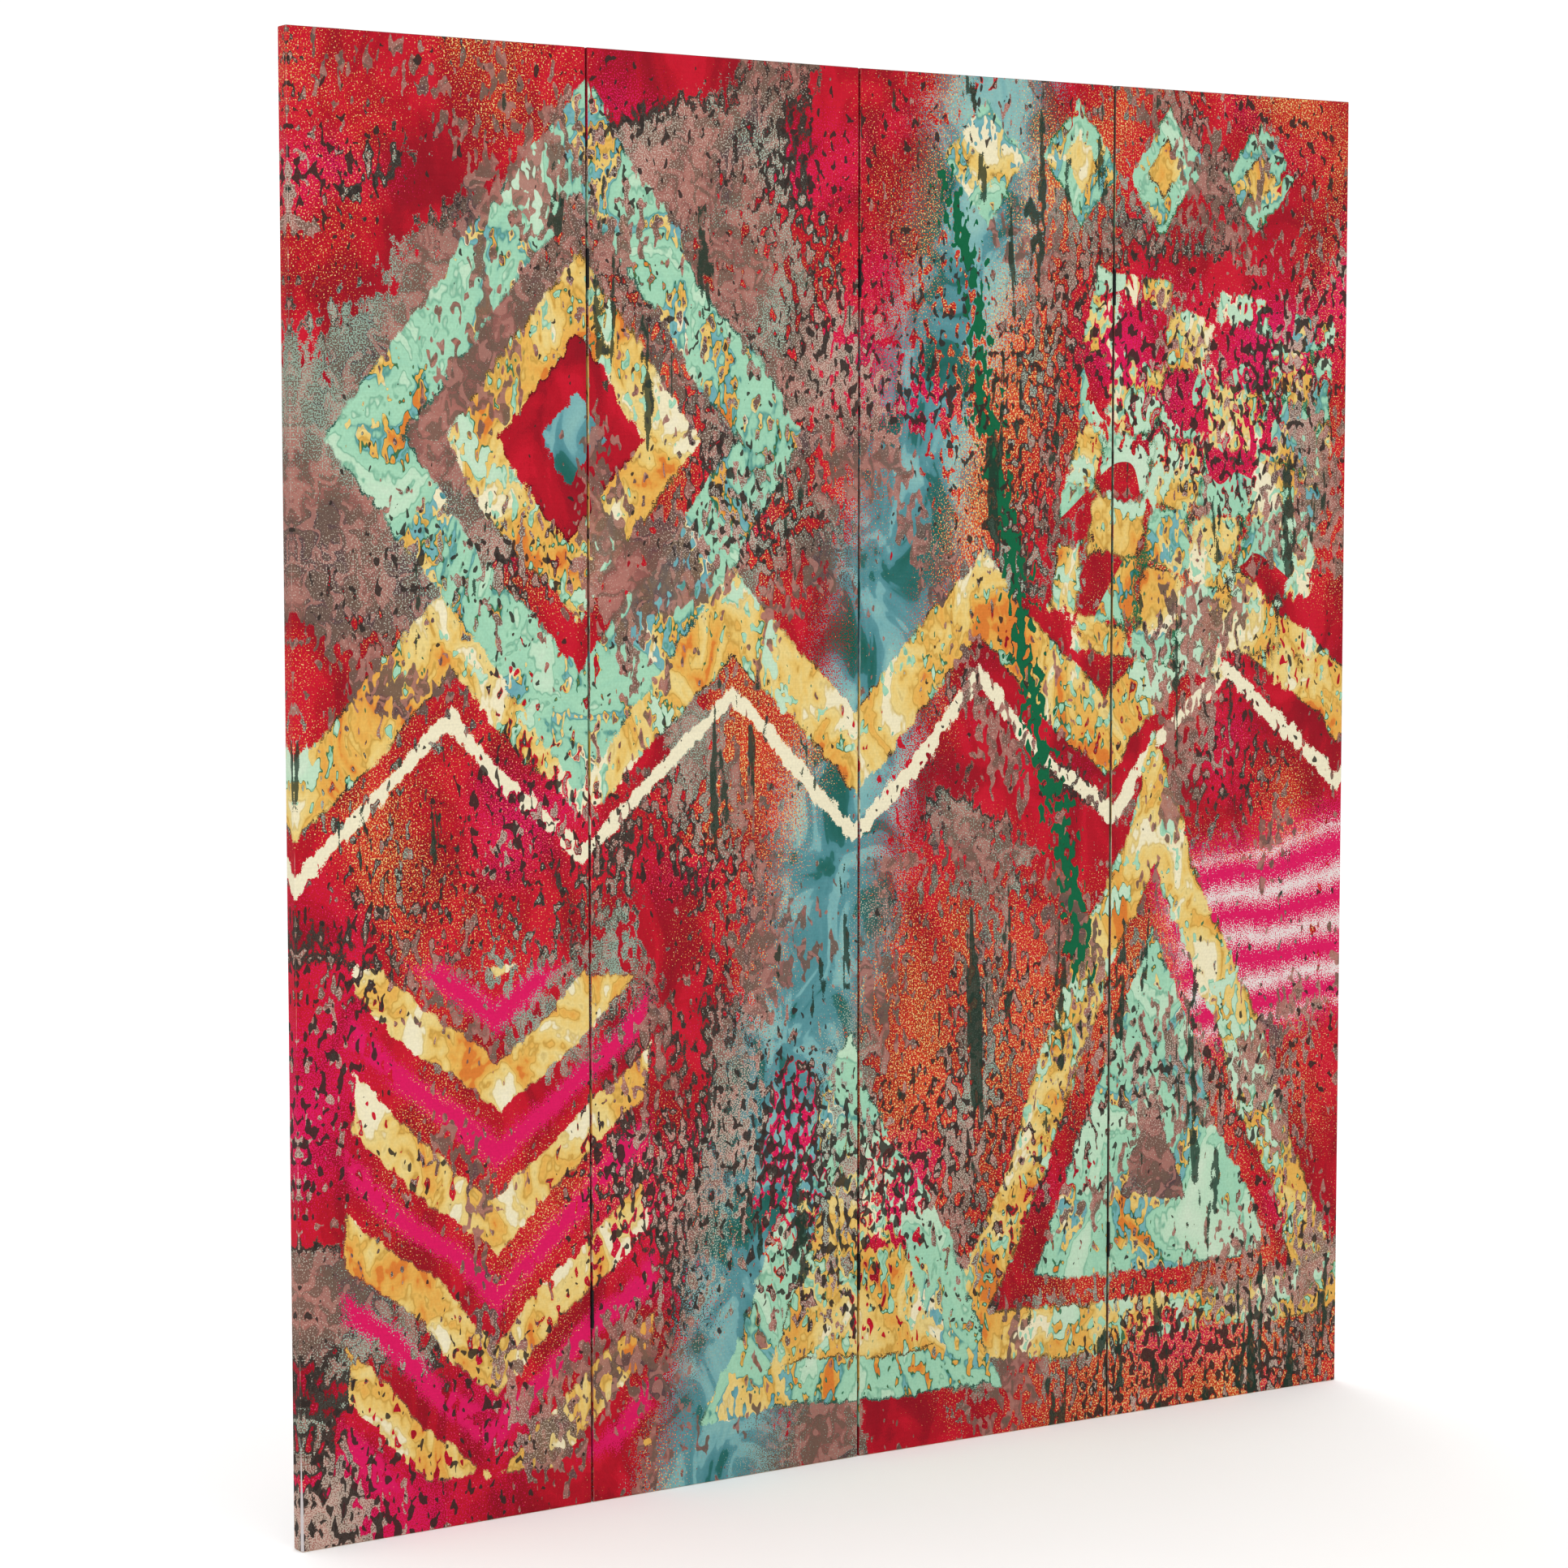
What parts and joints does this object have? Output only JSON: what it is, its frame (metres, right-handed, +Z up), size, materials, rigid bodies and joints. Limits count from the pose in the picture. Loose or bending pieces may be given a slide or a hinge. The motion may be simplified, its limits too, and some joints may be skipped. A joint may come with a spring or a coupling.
{
  "type": "folding canvas room divider",
  "caption": "Tall folding screen of narrow canvas-covered wooden frames in a row, joined edge to edge by small black double-acting hinges so that each panel folds flat either way.",
  "frame": {"origin": "on the floor, in the middle of the footprint of the screen as it stands at rest; the middle hinges' front pins are at x 0", "axes": "+X to the right along the row of panels, seen from the front; +Y from the front to the back; +Z up"},
  "size_m": [1.6096, 0.039, 1.797],
  "materials": {
    "printed_canvas_front": "matte plain-weave cotton canvas with an abstract print in reds, mauves, mint, gold and teal",
    "printed_canvas_back": "matte plain-weave cotton canvas with a companion abstract print",
    "frame_softwood": "planed, unfinished softwood",
    "dowel_hardwood": "fluted-free plain dowel rod, unfinished",
    "staple_steel": "galvanised wire",
    "hinge_black": "matte black lacquer, a little rubbed at the edges"
  },
  "bodies": {
    "panel_1": {"panel_1_left_stile": "frame_softwood", "panel_1_right_stile": "frame_softwood", "panel_1_bottom_rail": "frame_softwood", "panel_1_lower_cross_rail": "frame_softwood", "panel_1_upper_cross_rail": "frame_softwood", "panel_1_top_rail": "frame_softwood", "panel_1_dowels": "dowel_hardwood", "panel_1_staples": "staple_steel", "panel_1_front_canvas": "printed_canvas_front", "panel_1_back_canvas": "printed_canvas_back", "panel_1_hinge_screws": "hinge_black", "hinge_1_left_leaves": "hinge_black", "hinge_1_front_pins": "hinge_black"},
    "panel_2": {"panel_2_left_stile": "frame_softwood", "panel_2_right_stile": "frame_softwood", "panel_2_bottom_rail": "frame_softwood", "panel_2_lower_cross_rail": "frame_softwood", "panel_2_upper_cross_rail": "frame_softwood", "panel_2_top_rail": "frame_softwood", "panel_2_dowels": "dowel_hardwood", "panel_2_staples": "staple_steel", "panel_2_front_canvas": "printed_canvas_front", "panel_2_back_canvas": "printed_canvas_back", "panel_2_hinge_screws": "hinge_black", "hinge_1_right_leaves": "hinge_black", "hinge_1_back_pins": "hinge_black", "hinge_2_left_leaves": "hinge_black", "hinge_2_front_pins": "hinge_black"},
    "panel_3": {"panel_3_left_stile": "frame_softwood", "panel_3_right_stile": "frame_softwood", "panel_3_bottom_rail": "frame_softwood", "panel_3_lower_cross_rail": "frame_softwood", "panel_3_upper_cross_rail": "frame_softwood", "panel_3_top_rail": "frame_softwood", "panel_3_dowels": "dowel_hardwood", "panel_3_staples": "staple_steel", "panel_3_front_canvas": "printed_canvas_front", "panel_3_back_canvas": "printed_canvas_back", "panel_3_hinge_screws": "hinge_black", "hinge_2_right_leaves": "hinge_black", "hinge_2_back_pins": "hinge_black", "hinge_3_left_leaves": "hinge_black", "hinge_3_front_pins": "hinge_black"},
    "panel_4": {"panel_4_left_stile": "frame_softwood", "panel_4_right_stile": "frame_softwood", "panel_4_bottom_rail": "frame_softwood", "panel_4_lower_cross_rail": "frame_softwood", "panel_4_upper_cross_rail": "frame_softwood", "panel_4_top_rail": "frame_softwood", "panel_4_dowels": "dowel_hardwood", "panel_4_staples": "staple_steel", "panel_4_front_canvas": "printed_canvas_front", "panel_4_back_canvas": "printed_canvas_back", "panel_4_hinge_screws": "hinge_black", "hinge_3_right_leaves": "hinge_black", "hinge_3_back_pins": "hinge_black"},
    "link_1": {"hinge_1_links": "hinge_black"},
    "link_2": {"hinge_2_links": "hinge_black"},
    "link_3": {"hinge_3_links": "hinge_black"}
  },
  "joints": [
    {"name": "hinge_1_front_pin", "type": "hinge", "parent": "link_1", "child": "panel_1", "pos_m": [-0.40294, -0.01436, 0.8985], "axis": [0, 0, 1], "range_deg": [0, 178]},
    {"name": "hinge_1_back_pin", "type": "hinge", "parent": "panel_2", "child": "link_1", "pos_m": [-0.40337, 0.01104, 0.8985], "axis": [0, 0, -1], "range_deg": [0, 178]},
    {"name": "hinge_2_front_pin", "type": "hinge", "parent": "panel_2", "child": "link_2", "pos_m": [0, -0.00754, 0.8985], "axis": [0, 0, -1], "range_deg": [-1.94, 176.06]},
    {"name": "hinge_2_back_pin", "type": "hinge", "parent": "link_2", "child": "panel_3", "pos_m": [0.00043, 0.01786, 0.8985], "axis": [0, 0, 1], "range_deg": [0, 178]},
    {"name": "hinge_3_front_pin", "type": "hinge", "parent": "panel_3", "child": "link_3", "pos_m": [0.40294, -0.01436, 0.8985], "axis": [0, 0, -1], "range_deg": [0, 178]},
    {"name": "hinge_3_back_pin", "type": "hinge", "parent": "link_3", "child": "panel_4", "pos_m": [0.40337, 0.01104, 0.8985], "axis": [0, 0, 1], "range_deg": [0, 178]}
  ]
}
